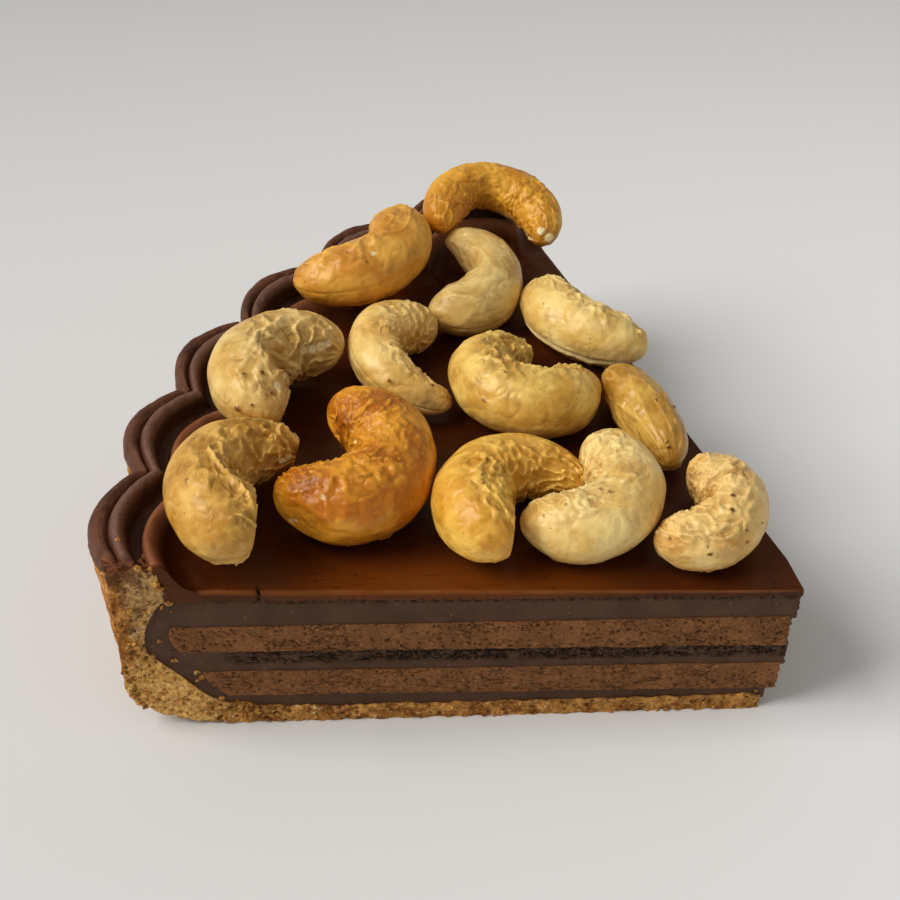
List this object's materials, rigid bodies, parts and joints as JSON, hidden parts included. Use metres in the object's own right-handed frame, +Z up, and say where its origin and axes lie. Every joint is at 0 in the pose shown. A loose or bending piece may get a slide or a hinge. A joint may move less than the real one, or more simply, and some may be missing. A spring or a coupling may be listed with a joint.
{
  "type": "chocolate tart slice",
  "caption": "Slice of layered chocolate tart with a fluted crumb crust, mousse and ganache layers, a piped chocolate edge and whole cashews on its glaze.",
  "frame": {"origin": "centre of the slice's footprint box, on the flat underside of its crust", "axes": "+Z up out of the glaze; the tip points to +X and the near cut face, along X, looks to -Y; the fluted rim is on the -X side"},
  "size_m": [0.0996, 0.0946, 0.0437],
  "materials": {
    "crust": "baked, dry and crumbly",
    "ganache": "satin, cut",
    "mousse": "matt, fine-grained, cut",
    "glaze": "glossy",
    "chocolate": "satin",
    "cashew_amber": "roasted, satin",
    "cashew_golden": "roasted, satin",
    "cashew_pale": "roasted, satin"
  },
  "bodies": {
    "root": {"crust": "crust", "ganache_bottom": "ganache", "mousse_lower": "mousse", "ganache_middle": "ganache", "mousse_upper": "mousse", "ganache_top": "ganache", "glaze": "glaze", "chocolate_rim": "chocolate", "cashew_01": "cashew_amber", "cashew_02": "cashew_amber", "cashew_03": "cashew_pale", "cashew_04": "cashew_pale", "cashew_05": "cashew_pale", "cashew_06": "cashew_pale", "cashew_07": "cashew_golden", "cashew_08": "cashew_golden", "cashew_09": "cashew_golden", "cashew_10": "cashew_amber", "cashew_11": "cashew_golden", "cashew_12": "cashew_pale", "cashew_13": "cashew_pale"}
  },
  "joints": []
}
